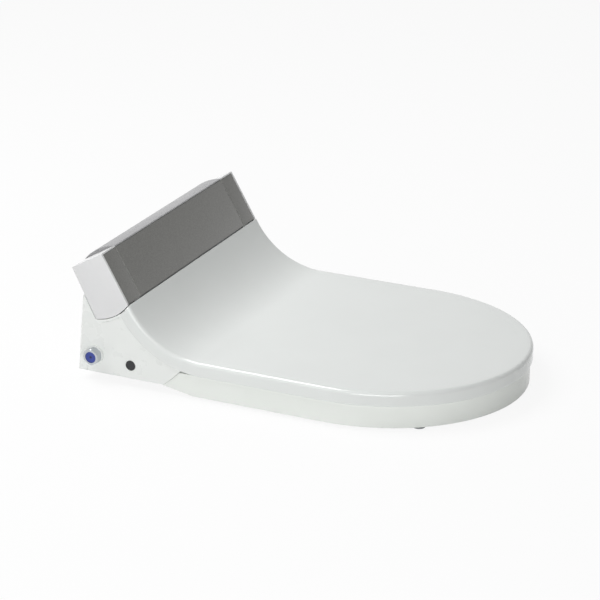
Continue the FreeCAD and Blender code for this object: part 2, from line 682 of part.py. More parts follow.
def control_box():
    """The fixed box: round underside, end walls, open front and top for its plates."""
    block = box_outline("box_block", "0", "-box_half + seam", "2 * (box_half - seam)", "box_top - 2")
    hollow = box_outline("box_hollow", "-box_wall", "-box_half + seam + box_wall",
                         "2 * (box_half - seam - box_wall)", "box_top")
    face = box("box_face", "-box_half", "-(box_front + 1)", "-box_radius - 1", "2 * box_half",
               "panel_thick + 1", "2 * box_radius")
    pins = rod("box_pin_holes", "-200", "0", "0", "pin_radius", "400")
    return node("control_box", at_hinge(cut("control_box", block, hollow, face, pins)))


def front_panel():
    """The dark metal face of the control box, bare of any mark."""
    low = "sqrt(pow(box_radius; 2) - pow(box_front; 2))"
    plate = box("front_panel", "-box_half + seam", "-box_front", "-" + low, "2 * (box_half - seam)",
                "panel_thick", "box_top - 2 + " + low)
    return node("front_panel", at_hinge(group("front_panel", plate)))


def top_cover():
    """The crowned grey cover along the top of the control box."""
    rise = "((pow((box_front + box_back_top + 2) / 2; 2) + pow(crown; 2)) / (2 * crown))"
    corners = [("-box_front", "box_top - 2"), ("box_back_top + 2", "box_top - 2"),
               ("box_back_top + 2", "box_top", rise), ("-box_front", "box_top")]
    cover = profile("cover_profile", "YZ_Plane", corners, "-box_half + seam", "2 * (box_half - seam)")
    return node("top_cover", at_hinge(cover))


def hinge_pins():
    """A steel pin on each side, from its damper out through the seat arm and the lid's end."""
    length = "pin_end - pin_start"
    return node("hinge_pins", group("hinge_pins",
                                    rod("pin_right", "pin_start", "hinge_back", "hinge_up", "pin_radius", length),
                                    rod("pin_left", "-pin_end", "hinge_back", "hinge_up", "pin_radius", length)))


def damper(name, low):
    """A round slow-close damper in one end of the control box, on its two-legged bracket."""
    can = rod(name + "_can", low, "0", "0", "9.5", "42")
    foot = box(name + "_foot", "%s + 6" % low, "0", "-9", "30", "box_back_top - box_wall + 0.2", "6")
    return node(name, at_hinge(join(name, can, foot)))


control_box()
front_panel()
top_cover()
hinge_pins()
damper("seat_damper", "-pin_start")
damper("lid_damper", "pin_start - 42")


# ---- nozzle housing, wand and drive

def along_wand(thing, distance, across="0", x="0"):
    """Puts something drawn along +Y on the wand's line, so far from its tip, and so far above the line."""
    y = "-wand_tip_front + (%s) * cos(wand_fall) - (%s) * sin(wand_fall)" % (distance, across)
    z = "wand_tip_up + (%s) * sin(wand_fall) + (%s) * cos(wand_fall)" % (distance, across)
    return place(thing, x, y, z, ACROSS, "wand_fall")


def wand_rod(name, start, radius, length):
    """A round bar along the wand's line."""
    bar = rod(name + "_bar", "0", "0", "0", radius, length, "y")
    return along_wand(group(name, bar), start)


def nozzle_housing():
    """The low hood in front of the shell that hides the wand and the warm-air outlet."""
    hood = box("hood", "-nose_half", "-nose_front", "nose_low", "2 * nose_half", "nose_front - 24",
               "nose_top - nose_low")
    inside = box("hood_inside", "-(nose_half - nose_wall)", "-(nose_front - nose_wall)", "nose_low - 1",
                 "2 * (nose_half - nose_wall)", "nose_front", "nose_top - nose_low + 1 - nose_wall")
    step = box("hood_step", "-(nose_half + 1)", "-tray_front - 6.1", "0", "2 * (nose_half + 1)", "60", "case_low + 2.6")
    gate = wand_rod("wand_gate", "-30", "wand_radius + 3.2", "50")
    back = rod("hood_back", "-200", "hinge_back", "hinge_up", "seam_radius", "400")
    vent = box("vent", "fan_x - duct_wide / 2", "-nose_front - 1", "duct_low", "duct_wide", "6", "duct_tall")
    return node("nozzle_housing", cut("nozzle_housing", hood, inside, step, gate, vent, back))


def wand_tube():
    """The wand: a round tube with a flat rack along its back."""
    tube = rod("wand_body", "0", "14", "0", "wand_radius", "wand_length - 14", "y")
    bore = rod("wand_bore", "0", "13", "0", "wand_radius - 2", "wand_length", "y")
    teeth = rack()
    return node("wand_tube", along_wand(cut("wand_tube", join("wand_solid", tube, teeth), bore), "0"))


def rack():
    """Straight-flanked teeth on a strip along the wand's underside."""
    pitch = math.pi * size("gear_module")
    base = -size("wand_radius") + 0.6
    root = base - 1.0
    tip = root - 1.8 * size("gear_module")
    half_root = pitch / 4 - 0.1 + math.tan(math.radians(20)) * size("gear_module")
    half_tip = pitch / 4 - 0.1 - math.tan(math.radians(20)) * 0.8 * size("gear_module")
    wide = size("gear_wide")
    strip = Part.makeBox(wide, size("wand_length") - 18, 1.0 + 0.6, V(-wide / 2, 16, root))
    solids = [strip]
    count = int((size("wand_length") - 22) / pitch)
    middle = size("gear_station")
    for number in range(-count, count + 1):
        at = middle + number * pitch
        if at < 18 or at > size("wand_length") - 4:
            continue
        points = [V(-wide / 2, at - half_root, root + 0.01), V(-wide / 2, at + half_root, root + 0.01),
                  V(-wide / 2, at + half_tip, tip), V(-wide / 2, at - half_tip, tip)]
        tooth = Part.Face(Part.makePolygon(points + points[:1])).extrude(V(wide, 0, 0))
        solids.append(tooth)
    feature = doc.addObject("Part::Feature", "rack_teeth")
    feature.Shape = solids[0].multiFuse(solids[1:]).removeSplitter()
    return feature


def pinion_outline():
    """Corner points of the wand's pinion, with involute flanks and a tooth gap pointing straight up."""
    module = size("gear_module")
    teeth = int(size("gear_teeth"))
    pitch_radius = module * teeth / 2
    base_radius = pitch_radius * math.cos(math.radians(20))
    tip = pitch_radius + 0.8 * module
    root = pitch_radius - 1.15 * module

    def involute(radius):
        return math.sqrt(max((radius / base_radius) ** 2 - 1, 0)) - math.acos(min(base_radius / radius, 1))

    half = math.pi / 2 / teeth - 0.1 / pitch_radius + involute(pitch_radius)
    points = []
    for tooth in range(teeth):
        centre = math.pi / 2 + (tooth + 0.5) * 2 * math.pi / teeth
        radii = [base_radius + (tip - base_radius) * step / 5 for step in range(6)]
        left = [(radius, centre - half + involute(radius)) for radius in radii]
        right = [(radius, centre + half - involute(radius)) for radius in reversed(radii)]
        foot = [(root, centre - half)]
        heel = [(root, centre + half)]
        points += foot + left + right + heel
    side = -size("gear_wide") / 2
    return [V(side, radius * math.cos(turn), radius * math.sin(turn)) for radius, turn in points]


PINION_HEIGHT = "(-(wand_radius - 0.6 + 1 + gear_module + gear_module * gear_teeth / 2))"


def drive_pinion():
    """The small gear that drives the wand, on its motor's shaft."""
    corners = pinion_outline()
    wheel = Part.Face(Part.makePolygon(corners + corners[:1])).extrude(V(size("gear_wide"), 0, 0))
    bore = Part.makeCylinder(1.5 + 0.02, 20, V(-5, 0, 0), ACROSS)
    feature = doc.addObject("Part::Feature", "pinion_teeth")
    feature.Shape = wheel.cut(bore)
    return node("drive_pinion", along_wand(feature, "gear_station", PINION_HEIGHT))


def wand_motor():
    """The geared motor whose shaft carries the pinion, on a foot that stands on the guide's plate."""
    can = rod("motor_can", "gear_wide / 2 + 7", "0", "0", "7", "18")
    shaft = rod("motor_shaft", "-gear_wide / 2 - 1", "0", "0", "1.5", "gear_wide + 10")
    return node("wand_motor", along_wand(join("wand_motor", can, shaft), "gear_station", PINION_HEIGHT))


def wand_guide():
    """The slide block round the wand, with a slot for its rack, on two legs from the tray."""
    half = "guide_side / 2"
    block = box("guide_block", "-" + half, "guide_start", "-" + half, "guide_side", "guide_length", "guide_side")
    bore = rod("guide_bore", "0", "0", "0", "wand_radius + wand_fit", "400", "y")
    slot = box("guide_slot", "-gear_wide / 2 - 0.4", "0", "-60", "gear_wide + 0.8", "400", "60")
    plate = box("guide_motor_plate", "guide_side / 2 - 3.3", "gear_station - 7", "%s - 4.5" % PINION_HEIGHT, "3.8",
                "14", "4.5 - %s" % PINION_HEIGHT)
    hole = rod("guide_motor_hole", "0", "gear_station", PINION_HEIGHT, "4", "60")
    bar = along_wand(cut("guide_bar", join("guide_solid", block, plate), hole), "0")
    path = along_wand(join("guide_path", bore, slot), "0")
    legs = []
    for number, y in enumerate(("-33", "14")):
        up = "wand_tip_up + (wand_tip_front + (%s) + 5) * tan(wand_fall) - guide_side / 2 - case_low - tray_floor + 1" % y
        legs.append(box("guide_leg_%d" % number, "-6", y, "case_low + tray_floor", "12", "8", up))
    return node("wand_guide", cut("wand_guide", join("guide_standing", bar, *legs), path))


def nozzle_head():
    """The spray head at the wand's tip with its two jets' flats."""
    head = rod("head_body", "0", "0", "0", "wand_radius", "14", "y")
    flat = box("head_flat", "-6", "2", "wand_radius - 0.8", "12", "9", "4")
    jets = [rod("jet_%d" % number, "0", y, "0", "0.7", "8", "z") for number, y in enumerate(("4.5", "8.5"))]
    return node("nozzle_head", along_wand(cut("nozzle_head", head, flat, *jets), "0"))


nozzle_housing()
wand_tube()
nozzle_head()
drive_pinion()
wand_motor()
wand_guide()


# ---- warm-air dryer

FAN_LOW = "(fan_x - fan_wide / 2)"


def fan_casing():
    """The blower's round casing with its intake eye and its foot on the tray."""
    can = rod("fan_can", FAN_LOW, "fan_back", "fan_up", "fan_radius", "fan_wide")
    foot = box("fan_foot", FAN_LOW, "fan_back - 12", "case_low + tray_floor", "fan_wide", "24",
               "fan_up - fan_radius - case_low - tray_floor + 6")
    inside = rod("fan_inside", FAN_LOW + " + 2", "fan_back", "fan_up", "fan_radius - 2", "fan_wide - 4")
    eye = rod("fan_eye", FAN_LOW + " + fan_wide - 6", "fan_back", "fan_up", "14", "20")
    mouth = box("fan_mouth", FAN_LOW + " + 2", "-20", "fan_up - fan_radius + 2", "fan_wide - 4", "fan_back + 15",
                "10")
    back = rod("fan_back_hole", FAN_LOW + " - 5", "fan_back", "fan_up", "2", "20")
    return node("fan_casing", cut("fan_casing", join("fan_solid", can, foot), inside, eye, mouth, back))


def impeller():
    """The blower wheel: a back disc, a hub and straight blades."""
    low = FAN_LOW + " + 5"
    disc = rod("wheel_disc", low, "fan_back", "fan_up", "impeller_radius", "1.6")
    hub = rod("wheel_hub", low, "fan_back", "fan_up", "6", "14")
    blades = []
    count = 12
    for number in range(count):
        blade = box("blade_%d" % number, "0", "0", "0", "15", "8", "1.2")
        turn = 360.0 / count * number
        spin = FreeCAD.Rotation(ACROSS, turn)
        away = spin.multVec(V(0, size("impeller_radius") - 8.2, -0.6))
        blade.Placement = FreeCAD.Placement(V(0, 0, 0), spin)
        place_at = (low, "fan_back + %f" % away.y, "fan_up + %f" % away.z)
        blade.setExpression("Placement.Base.x", full(place_at[0]))
        blade.setExpression("Placement.Base.y", full(place_at[1]))
        blade.setExpression("Placement.Base.z", full(place_at[2]))
        blades.append(blade)
    bore = rod("wheel_bore", FAN_LOW, "fan_back", "fan_up", "1.5 + 0.03", "30")
    return node("impeller", cut("impeller", join("wheel_solid", disc, hub, *blades), bore))


def fan_motor():
    """The motor on the blower's closed side, with the shaft that carries the wheel."""
    can = rod("fan_motor_can", FAN_LOW + " - 18", "fan_back", "fan_up", "13", "18")
    shaft = rod("fan_motor_shaft", FAN_LOW + " - 1", "fan_back", "fan_up", "1.5", "18")
    return node("fan_motor", join("fan_motor", can, shaft))


def dryer_duct():
    """The flat duct from the blower to the outlet in the nozzle housing."""
    low = "fan_x - duct_wide / 2"
    outer = box("duct_outer", low, "-nose_front + nose_wall", "duct_low", "duct_wide", "nose_front + 2", "duct_tall")
    inner = box("duct_inner", low + " + 1.5", "-nose_front", "duct_low + 1.5", "duct_wide - 3",
                "nose_front + 30", "duct_tall - 3")
    fan = rod("duct_fan", "0", "fan_back", "fan_up", "fan_radius + 0.2", "200")
    return node("dryer_duct", cut("dryer_duct", outer, inner, fan))


def dryer_heater():
    """Heating grid across the duct."""
    bars = []
    for number in range(4):
        z = "duct_low + 1.5 + %d * (duct_tall - 3) / 4 + 0.6" % number
        bars.append(box("heat_bar_%d" % number, "fan_x - duct_wide / 2 + 1.5", "-48", z, "duct_wide - 3", "16", "0.9"))
    return node("dryer_heater", group("dryer_heater", *bars))


fan_casing()
impeller()
fan_motor()
dryer_duct()
dryer_heater()


# ---- water path and electrics

def hexagon(name, x, y, z, flats, length):
    """A hexagonal bar along X."""
    prism = doc.addObject("Part::Prism", name)
    prism.Polygon = 6
    bind(prism, Circumradius="(%s) / 2 / cos(30)" % flats, Height=length)
    prism.Placement = FreeCAD.Placement(V(0, 0, 0), FreeCAD.Rotation(V(0, 1, 0), 90))
    prism.setExpression("Placement.Base.x", full(x))
    prism.setExpression("Placement.Base.y", full(y))
    prism.setExpression("Placement.Base.z", full(z))
    return prism


def inlet_parts():
    """Collar on the cheek, chrome union nut, transit plug, and the pipe with its strainer inside."""
    flange = rod("collar_flange", "-case_half_width - 2.5", "inlet_back", "inlet_up", "collar_radius", "2.5")
    neck = rod("collar_neck", "-case_half_width - 1", "inlet_back", "inlet_up", "collar_radius - 3.1",
               "case_wall + 5")
    bore = rod("collar_bore", *SIDE_INLET, "plug_radius", "60")
    node("inlet_collar", cut("inlet_collar", join("collar_solid", flange, neck), bore))
    nut = hexagon("nut_hex", "-case_half_width - 2.5 - nut_length", "inlet_back", "inlet_up", "nut_flats", "nut_length")
    open_bore = rod("nut_bore", *SIDE_INLET, "plug_radius", "60")
    node("inlet_nut", cut("inlet_nut", nut, open_bore))
    node("inlet_plug", rod("plug_disc", "-case_half_width - 2.5 - nut_length + 0.6", "inlet_back", "inlet_up",
                           "plug_radius", "4"))
    pipe = rod("pipe_outer", "-case_half_width - 5", "inlet_back", "inlet_up", "plug_radius", "32")
    hollow = rod("pipe_bore", "-case_half_width - 6", "inlet_back", "inlet_up", "pipe_radius", "26")
    node("inlet_pipe", cut("inlet_pipe", pipe, hollow))
    node("inlet_strainer", rod("strainer", "-case_half_width - 3", "inlet_back", "inlet_up", "pipe_radius", "6"))


def power_inlet():
    """The black keyed socket in the left cheek: round with one flat, and a shallow recess."""
    barrel = rod("power_barrel", "-case_half_width - 0.6", "power_back", "power_up", "power_radius", "14")
    key = box("power_key", "-1", "-20", "power_flat", "30", "40", "20")
    key.Placement = FreeCAD.Placement(V(0, 0, 0), FreeCAD.Rotation(ACROSS, size("box_lean") + 4))
    place_key = group("power_key_set", key)
    place(place_key, "-case_half_width - 2", "power_back", "power_up")
    return node("power_inlet", cut("power_inlet", barrel, place_key))


def solenoid_valve():
    """The water valve behind the inlet: block, coil and outlet stub."""
    block = box("valve_block", "-case_half_width + 27", "inlet_back - 11", "case_low + tray_floor", "26", "22", "34")
    coil = rod("valve_coil", "-case_half_width + 40", "inlet_back - 1", "case_low + tray_floor + 33", "8.5", "16", "z")
    return node("solenoid_valve", join("solenoid_valve", block, coil))


def hose(name, start, runs, radius):
    """A round hose of straight runs along the axes, with balls at its turns."""
    pieces = []
    x, y, z = start
    for number, (axis, length) in enumerate(runs):
        back = length.startswith("-")
        reach = length.lstrip("-")
        at = {"x": x, "y": y, "z": z}
        low = dict(at)
        if back:
            low[axis] = "%s - (%s)" % (at[axis], reach)
        pieces.append(rod("%s_run_%d" % (name, number), low["x"], low["y"], low["z"], radius, reach, axis))
        at[axis] = "%s %s (%s)" % (at[axis], "-" if back else "+", reach)
        x, y, z = at["x"], at["y"], at["z"]
        if number < len(runs) - 1:
            ball = bind(doc.addObject("Part::Sphere", "%s_turn_%d" % (name, number)), Radius=radius)
            pieces.append(place(ball, x, y, z))
    return node(name, join(name, *pieces))


def electrics():
    """Heater tank, pump, boards and power supply, each standing on the tray."""
    floor = "case_low + tray_floor"
    node("water_heater", box("heater_tank", "-60", "0", floor, "40", "56", "44"))
    pump_can = rod("pump_can", "-116", "34", floor + " + 14", "12", "34")
    pump_foot = box("pump_foot", "-112", "26", floor, "26", "16", "8")
    node("water_pump", join("water_pump", pump_can, pump_foot))
    node("power_supply", box("supply_block", "118", "10", floor, "40", "52", "30"))
    board = box("board", "31", "0", floor + " + 4", "32", "56", "1.6")
    legs = [box("board_leg_%d" % number, "33 + %d * 23" % (number % 2), "2 + %d * 46" % (number // 2), floor,
                "5", "5", "4") for number in range(4)]
    chips = [box("chip_%d" % number, "38", "10 + %d * 15" % number, floor + " + 5.6", "14", "9", "2.4")
             for number in range(3)]
    node("control_board", join("control_board", board, *legs, *chips))


inlet_parts()
power_inlet()
solenoid_valve()
electrics()
hose("supply_hose", ("-case_half_width + 40", "inlet_back - 11", "case_low + tray_floor + 14"),
     [("y", "-10"), ("x", "29")], "3.2")


def release_button():
    """The button that frees the unit from its mounting plate, its sleeve and its spring."""
    cap = rod("button_cap", "case_half_width - case_wall - 5", "button_back", "button_up", "button_radius",
              "case_wall + 6.5")
    stem = rod("button_stem", "case_half_width - case_wall - 18", "button_back", "button_up", "3", "14")
    node("release_button", join("release_button", cap, stem))
    wall = box("sleeve_wall", "case_half_width - case_wall - 26", "button_back - 11", "case_low + tray_floor",
               "4", "22", "22")
    hole = rod("sleeve_hole", "100", "button_back", "button_up", "3.08", "80")
    node("button_bracket", cut("button_bracket", wall, hole))


release_button()

doc.recompute()
for item in doc.Objects:
    if "Invalid" in item.State or "Error" in item.State:
        raise RuntimeError("%s did not build: %s" % (item.Name, item.State))
for name, item in nodes.items():
    if item.Shape.isNull() or not item.Shape.isValid():
        raise RuntimeError("%s is not a valid shape" % name)
    if not item.Shape.Solids:
        raise RuntimeError("%s holds no solid" % name)
os.makedirs("parts", exist_ok=True)
for name, item in nodes.items():
    item.Shape.exportStep(os.path.join("parts", name + ".step"))
    print("%-18s solids %2d volume %10.0f" % (name, len(item.Shape.Solids), item.Shape.Volume))
print(len(nodes), "sub-parts")
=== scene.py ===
# %% [markdown]
# # An electric bidet seat, finished around its CAD model
#
# The imported CAD model is loaded as a fixed frame: every sub-part already sits in its place, in metres,
# and rides on the body it moves with. What is left for this script is how the thing looks: the big glossy
# lid, the softened edges of the mouldings, the metals and the light. The first line of code loads the
# frame.

# %% Load the frame
import json
from math import pi, radians

import bmesh
import bpy
import numpy as np
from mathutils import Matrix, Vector

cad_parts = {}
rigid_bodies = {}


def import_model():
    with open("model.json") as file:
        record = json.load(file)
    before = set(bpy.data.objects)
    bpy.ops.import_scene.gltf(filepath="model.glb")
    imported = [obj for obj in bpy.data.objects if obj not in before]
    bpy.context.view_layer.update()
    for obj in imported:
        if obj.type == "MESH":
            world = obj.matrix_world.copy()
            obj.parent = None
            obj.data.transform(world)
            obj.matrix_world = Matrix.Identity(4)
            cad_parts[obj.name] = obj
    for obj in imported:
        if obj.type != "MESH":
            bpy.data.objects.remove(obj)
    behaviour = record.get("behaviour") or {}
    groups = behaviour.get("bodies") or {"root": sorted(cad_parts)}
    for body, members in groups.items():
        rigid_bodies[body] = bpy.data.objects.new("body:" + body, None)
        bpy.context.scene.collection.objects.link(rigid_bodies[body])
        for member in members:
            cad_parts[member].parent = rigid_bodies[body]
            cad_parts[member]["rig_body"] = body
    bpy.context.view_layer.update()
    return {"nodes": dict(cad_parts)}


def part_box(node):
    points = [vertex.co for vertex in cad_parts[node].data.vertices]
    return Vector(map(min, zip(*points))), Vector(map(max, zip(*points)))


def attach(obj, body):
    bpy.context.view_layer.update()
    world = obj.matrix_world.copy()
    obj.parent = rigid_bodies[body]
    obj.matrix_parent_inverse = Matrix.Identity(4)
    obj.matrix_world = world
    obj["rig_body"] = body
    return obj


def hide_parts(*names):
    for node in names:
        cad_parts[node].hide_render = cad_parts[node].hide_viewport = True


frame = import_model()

# %% [markdown]
# ## Colours and nodes
#
# Paint and plastic colours are easiest to judge as the hex codes of a colour chart, but the shader works
# with linear light, so one function turns one into the other. A second small helper adds a shader node,
# sets its properties and joins its inputs, which keeps each material to a few lines that read from top to
# bottom.

# %% Helpers for colours and nodes
MM = 0.001


def linear(code):
    """sRGB hex to linear RGBA: a dark channel is divided by 12.92, any other is ((c + 0.055) / 1.055) ^ 2.4."""
    srgb = np.array([int(code[start:start + 2], 16) for start in (0, 2, 4)]) / 255
    light = np.where(srgb <= 0.04045, srgb / 12.92, ((srgb + 0.055) / 1.055) ** 2.4)
    return (*light.tolist(), 1.0)


def add(tree, kind, inputs=None, **settings):
    """Adds a shader node, sets its properties, and gives each named input a value or a link."""
    node = tree.nodes.new("ShaderNode" + kind)
    for name, value in settings.items():
        setattr(node, name, value)
    for socket, value in (inputs or {}).items():
        if isinstance(value, bpy.types.NodeSocket):
            tree.links.new(value, node.inputs[socket])
        else:
            node.inputs[socket].default_value = value
    return node


def blank(name):
    """A new material, its node tree and its one Principled shader."""
    material = bpy.data.materials.new(name)
    material.use_nodes = True
    tree = material.node_tree
    return material, tree, tree.nodes["Principled BSDF"]


# %% [markdown]
# ## Moulded plastics
#
# Nearly everything here is injection-moulded. A moulding is one colour all through, yet the eye reads
# plastic from three faint things: the pigment drifts a little over a hand's breadth, the gloss drifts
# with it, and the skin is not quite flat. On a polished mould that last one is a low, wide ripple like
# orange peel, and on an eroded mould a fine grain. A picture of each could be painted, but noise in the
# object's own coordinates gives the same at any distance and needs no image. The grain of a real mould is
# about 0.1 mm, too fine to show, so it is drawn coarser.

# %% One recipe for mouldings
PIGMENT_DRIFT = 70 * MM
GLOSS_DRIFT = 22 * MM


def moulding(name, pigment, drift, gloss, skin, depth, coat=0.0, ior=1.53):
    """Plastic: pigment and drift are the two colours that slow noise mixes, gloss the lowest and highest
    roughness, skin the ripple's or grain's size and depth its height, both in millimetres."""
    material, tree, shader = blank(name)
    place = add(tree, "TexCoord").outputs["Object"]
    slow = add(tree, "TexNoise", {"Vector": place, "Scale": 1 / PIGMENT_DRIFT, "Detail": 2.0}).outputs["Fac"]
    shade = add(tree, "Mix", {"Factor": slow, 6: linear(pigment), 7: linear(drift)}, data_type="RGBA")
    wiped = add(tree, "TexNoise", {"Vector": place, "Scale": 1 / GLOSS_DRIFT, "Detail": 4.0}).outputs["Fac"]
    sheen = add(tree, "MapRange", {"Value": wiped, "From Min": 0.3, "From Max": 0.7,
                                   "To Min": gloss[0], "To Max": gloss[1]})
    ripple = add(tree, "TexNoise", {"Vector": place, "Scale": 1 / (skin * MM), "Detail": 1.0}).outputs["Fac"]
    bump = add(tree, "Bump", {"Height": ripple, "Strength": 1.0, "Distance": depth * MM})
    tree.links.new(shade.outputs[2], shader.inputs["Base Color"])
    tree.links.new(sheen.outputs["Result"], shader.inputs["Roughness"])
    tree.links.new(bump.outputs["Normal"], shader.inputs["Normal"])
    shader.inputs["IOR"].default_value = ior
    shader.inputs["Coat Weight"].default_value = coat
    shader.inputs["Coat Roughness"].default_value = 0.04
    return material


# %% [markdown]
# The lid is white ABS from a mirror-polished mould, a shade cooler than the parts below it. Ring and base
# are the same plastic with a less costly polish. The end caps are eroded to a satin skin, so they look a
# little greyer and never flash. Covers that face the wall are plainer still.

# %% White and grey plastics
lid_abs = moulding("polished_white_abs", "DDE0DE", "D9DCDA", (0.12, 0.15), 9, 0.008, coat=0.25)
ring_abs = moulding("white_abs", "E6E9E5", "E2E6E1", (0.22, 0.26), 7, 0.008)
shell_abs = moulding("white_abs_shell", "E5E7E5", "E2E5E2", (0.26, 0.30), 5, 0.008)
cap_abs = moulding("satin_light_grey_abs", "DDDDDD", "D8D9DA", (0.36, 0.46), 1.6, 0.010)
cover_abs = moulding("satin_mid_grey_abs", "9D9D9E", "979799", (0.34, 0.44), 1.6, 0.012)
inner_abs = moulding("plain_grey_abs", "9FA2A5", "94979B", (0.42, 0.55), 1.4, 0.02)
black_nylon = moulding("black_nylon", "1B1C1E", "232427", (0.38, 0.52), 1.2, 0.02)
soft_rubber = moulding("grey_rubber", "8C8F91", "7F8284", (0.62, 0.78), 1.1, 0.03, ior=1.52)
print("plastics:", len(bpy.data.materials))

# %% [markdown]
# ## Lacquered panel
#
# The hand-high control panel is plastic painted with a dark metallic lacquer: aluminium flakes under a
# clear coat. Flakes lie at slightly different tilts, so up close the paint sparkles in cells, and from
# afar it looks like dull metal. A Voronoi pattern gives every flake its own tilt and tone. Real flakes
# are 0.03 mm; 0.9 mm shows here.

# %% Metallic lacquer
def lacquer(name, dark, bright, flake=0.9):
    """Flake paint: each Voronoi cell picks a tone between dark and bright and tilts the normal a little."""
    material, tree, shader = blank(name)
    place = add(tree, "TexCoord").outputs["Object"]
    cells = add(tree, "TexVoronoi", {"Vector": place, "Scale": 1 / (flake * MM)})
    tone = add(tree, "SeparateXYZ", {"Vector": cells.outputs["Color"]}).outputs["X"]
    paint = add(tree, "Mix", {"Factor": tone, 6: linear(dark), 7: linear(bright)}, data_type="RGBA")
    cloud = add(tree, "TexNoise", {"Vector": place, "Scale": 1 / (60 * MM), "Detail": 2.0}).outputs["Fac"]
    sheen = add(tree, "MapRange", {"Value": cloud, "To Min": 0.30, "To Max": 0.40})
    bump = add(tree, "Bump", {"Height": tone, "Strength": 0.25, "Distance": 0.02 * MM})
    tree.links.new(paint.outputs[2], shader.inputs["Base Color"])
    tree.links.new(sheen.outputs["Result"], shader.inputs["Roughness"])
    tree.links.new(bump.outputs["Normal"], shader.inputs["Normal"])
    shader.inputs["Metallic"].default_value = 0.55
    shader.inputs["Coat Weight"].default_value = 0.35
    shader.inputs["Coat Roughness"].default_value = 0.12
    return material


panel_lacquer = lacquer("dark_metallic_lacquer", "646461", "72726F")

# %% [markdown]
# ## Metals
#
# The inlet nut is brass under chrome plate, so it is nearly a mirror with faint polishing marks that run
# round it. Pins, screws and the spray head are plain stainless steel, and the pipe behind the nut is bare
# brass. A metal's colour is in its reflection: metallic is 1, the default IOR stays, and only roughness
# and scratches tell them apart.

# %% Chrome, steel, brass
def metal(name, colour, mark, gloss, grain):
    """Metal with marks: noise squeezed along X draws the direction of polishing, grain millimetres apart."""
    material, tree, shader = blank(name)
    place = add(tree, "TexCoord").outputs["Object"]
    along = add(tree, "Mapping", {"Vector": place, "Scale": (1.0, 0.15, 0.15)}).outputs["Vector"]
    marks = add(tree, "TexNoise", {"Vector": along, "Scale": 1 / (grain * MM), "Detail": 3.0}).outputs["Fac"]
    tone = add(tree, "Mix", {"Factor": marks, 6: linear(colour), 7: linear(mark)}, data_type="RGBA")
    sheen = add(tree, "MapRange", {"Value": marks, "To Min": gloss[0], "To Max": gloss[1]})
    bump = add(tree, "Bump", {"Height": marks, "Strength": 0.2, "Distance": 0.01 * MM})
    tree.links.new(tone.outputs[2], shader.inputs["Base Color"])
    tree.links.new(sheen.outputs["Result"], shader.inputs["Roughness"])
    tree.links.new(bump.outputs["Normal"], shader.inputs["Normal"])
    shader.inputs["Metallic"].default_value = 1.0
    return material


chrome = metal("polished_chrome", "C9CCCF", "BBBFC4", (0.06, 0.14), 0.8)
steel = metal("stainless_steel", "B5B6B8", "A4A6A9", (0.24, 0.36), 0.5)
brass = metal("bare_brass", "C7A45C", "B08E4A", (0.26, 0.38), 0.6)

# %% [markdown]
# ## Plug, and circuit board
#
# The inlet is closed with a blue polyethylene plug, softer and duller than ABS. Its middle is painted dark:
# painted shade that stands in for the small dimple at its centre. The board inside is glass epoxy under
# green solder mask: tracks a millimetre or two wide show as a slightly lighter green, drawn by two sets of
# bands at right angles.

# %% Blue plug and green board
def plug_polyethylene():
    """Blue plastic whose middle, within 1.5 mm of the plug's axis, is dark: painted shade for the dimple there.
    """
    material, tree, shader = blank("blue_polyethylene")
    low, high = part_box("inlet_plug")
    middle = (low + high) / 2
    # Painted shade: the dark disc at the plug's middle stands in for the shade inside its central dimple.
    dimple_shade_edge = (1.3 * MM, 1.9 * MM)
    place = add(tree, "TexCoord").outputs["Object"]
    centred = add(tree, "VectorMath", {0: place, 1: tuple(middle)}, operation="SUBTRACT").outputs["Vector"]
    flat = add(tree, "VectorMath", {0: centred, 1: (0, 1, 1)}, operation="MULTIPLY").outputs["Vector"]
    away = add(tree, "VectorMath", {0: flat}, operation="LENGTH").outputs["Value"]
    rim = add(tree, "MapRange", {"Value": away, "From Min": dimple_shade_edge[0], "From Max": dimple_shade_edge[1]})
    wax = add(tree, "TexNoise", {"Vector": place, "Scale": 1 / (3 * MM)}).outputs["Fac"]
    blue = add(tree, "Mix", {"Factor": wax, 6: linear("33439A"), 7: linear("2B3A86")}, data_type="RGBA")
    face = add(tree, "Mix", {"Factor": rim.outputs["Result"], 6: linear("14182E"), 7: blue.outputs[2]},
               data_type="RGBA")
    sheen = add(tree, "MapRange", {"Value": wax, "To Min": 0.30, "To Max": 0.45})
    tree.links.new(face.outputs[2], shader.inputs["Base Color"])
    tree.links.new(sheen.outputs["Result"], shader.inputs["Roughness"])
    return material


def board_epoxy():
    """Green mask with lighter tracks: the brighter of two sets of bands, about 6 mm apart, along X and Y."""
    material, tree, shader = blank("green_glass_epoxy")
    place = add(tree, "TexCoord").outputs["Object"]
    bands = [add(tree, "TexWave", {"Vector": place, "Scale": 1 / (20 * MM), "Distortion": 1.5},
                 bands_direction=way).outputs["Fac"] for way in "XY"]
    both = add(tree, "Math", {0: bands[0], 1: bands[1]}, operation="MAXIMUM").outputs["Value"]
    track = add(tree, "MapRange", {"Value": both, "From Min": 0.8, "From Max": 0.9}).outputs["Result"]
    mask = add(tree, "Mix", {"Factor": track, 6: linear("1C5B38"), 7: linear("3B8055")}, data_type="RGBA")
    tree.links.new(mask.outputs[2], shader.inputs["Base Color"])
    shader.inputs["Roughness"].default_value = 0.3
    return material


blue_plug = plug_polyethylene()
board = board_epoxy()

# %% [markdown]
# ## Each slot's finish
#
# The CAD record names a material slot for every sub-part, which makes a first pass easy: one table from
# slot to finish dresses every sub-part that keeps its CAD shape. The table is the maker's colour and
# material list.

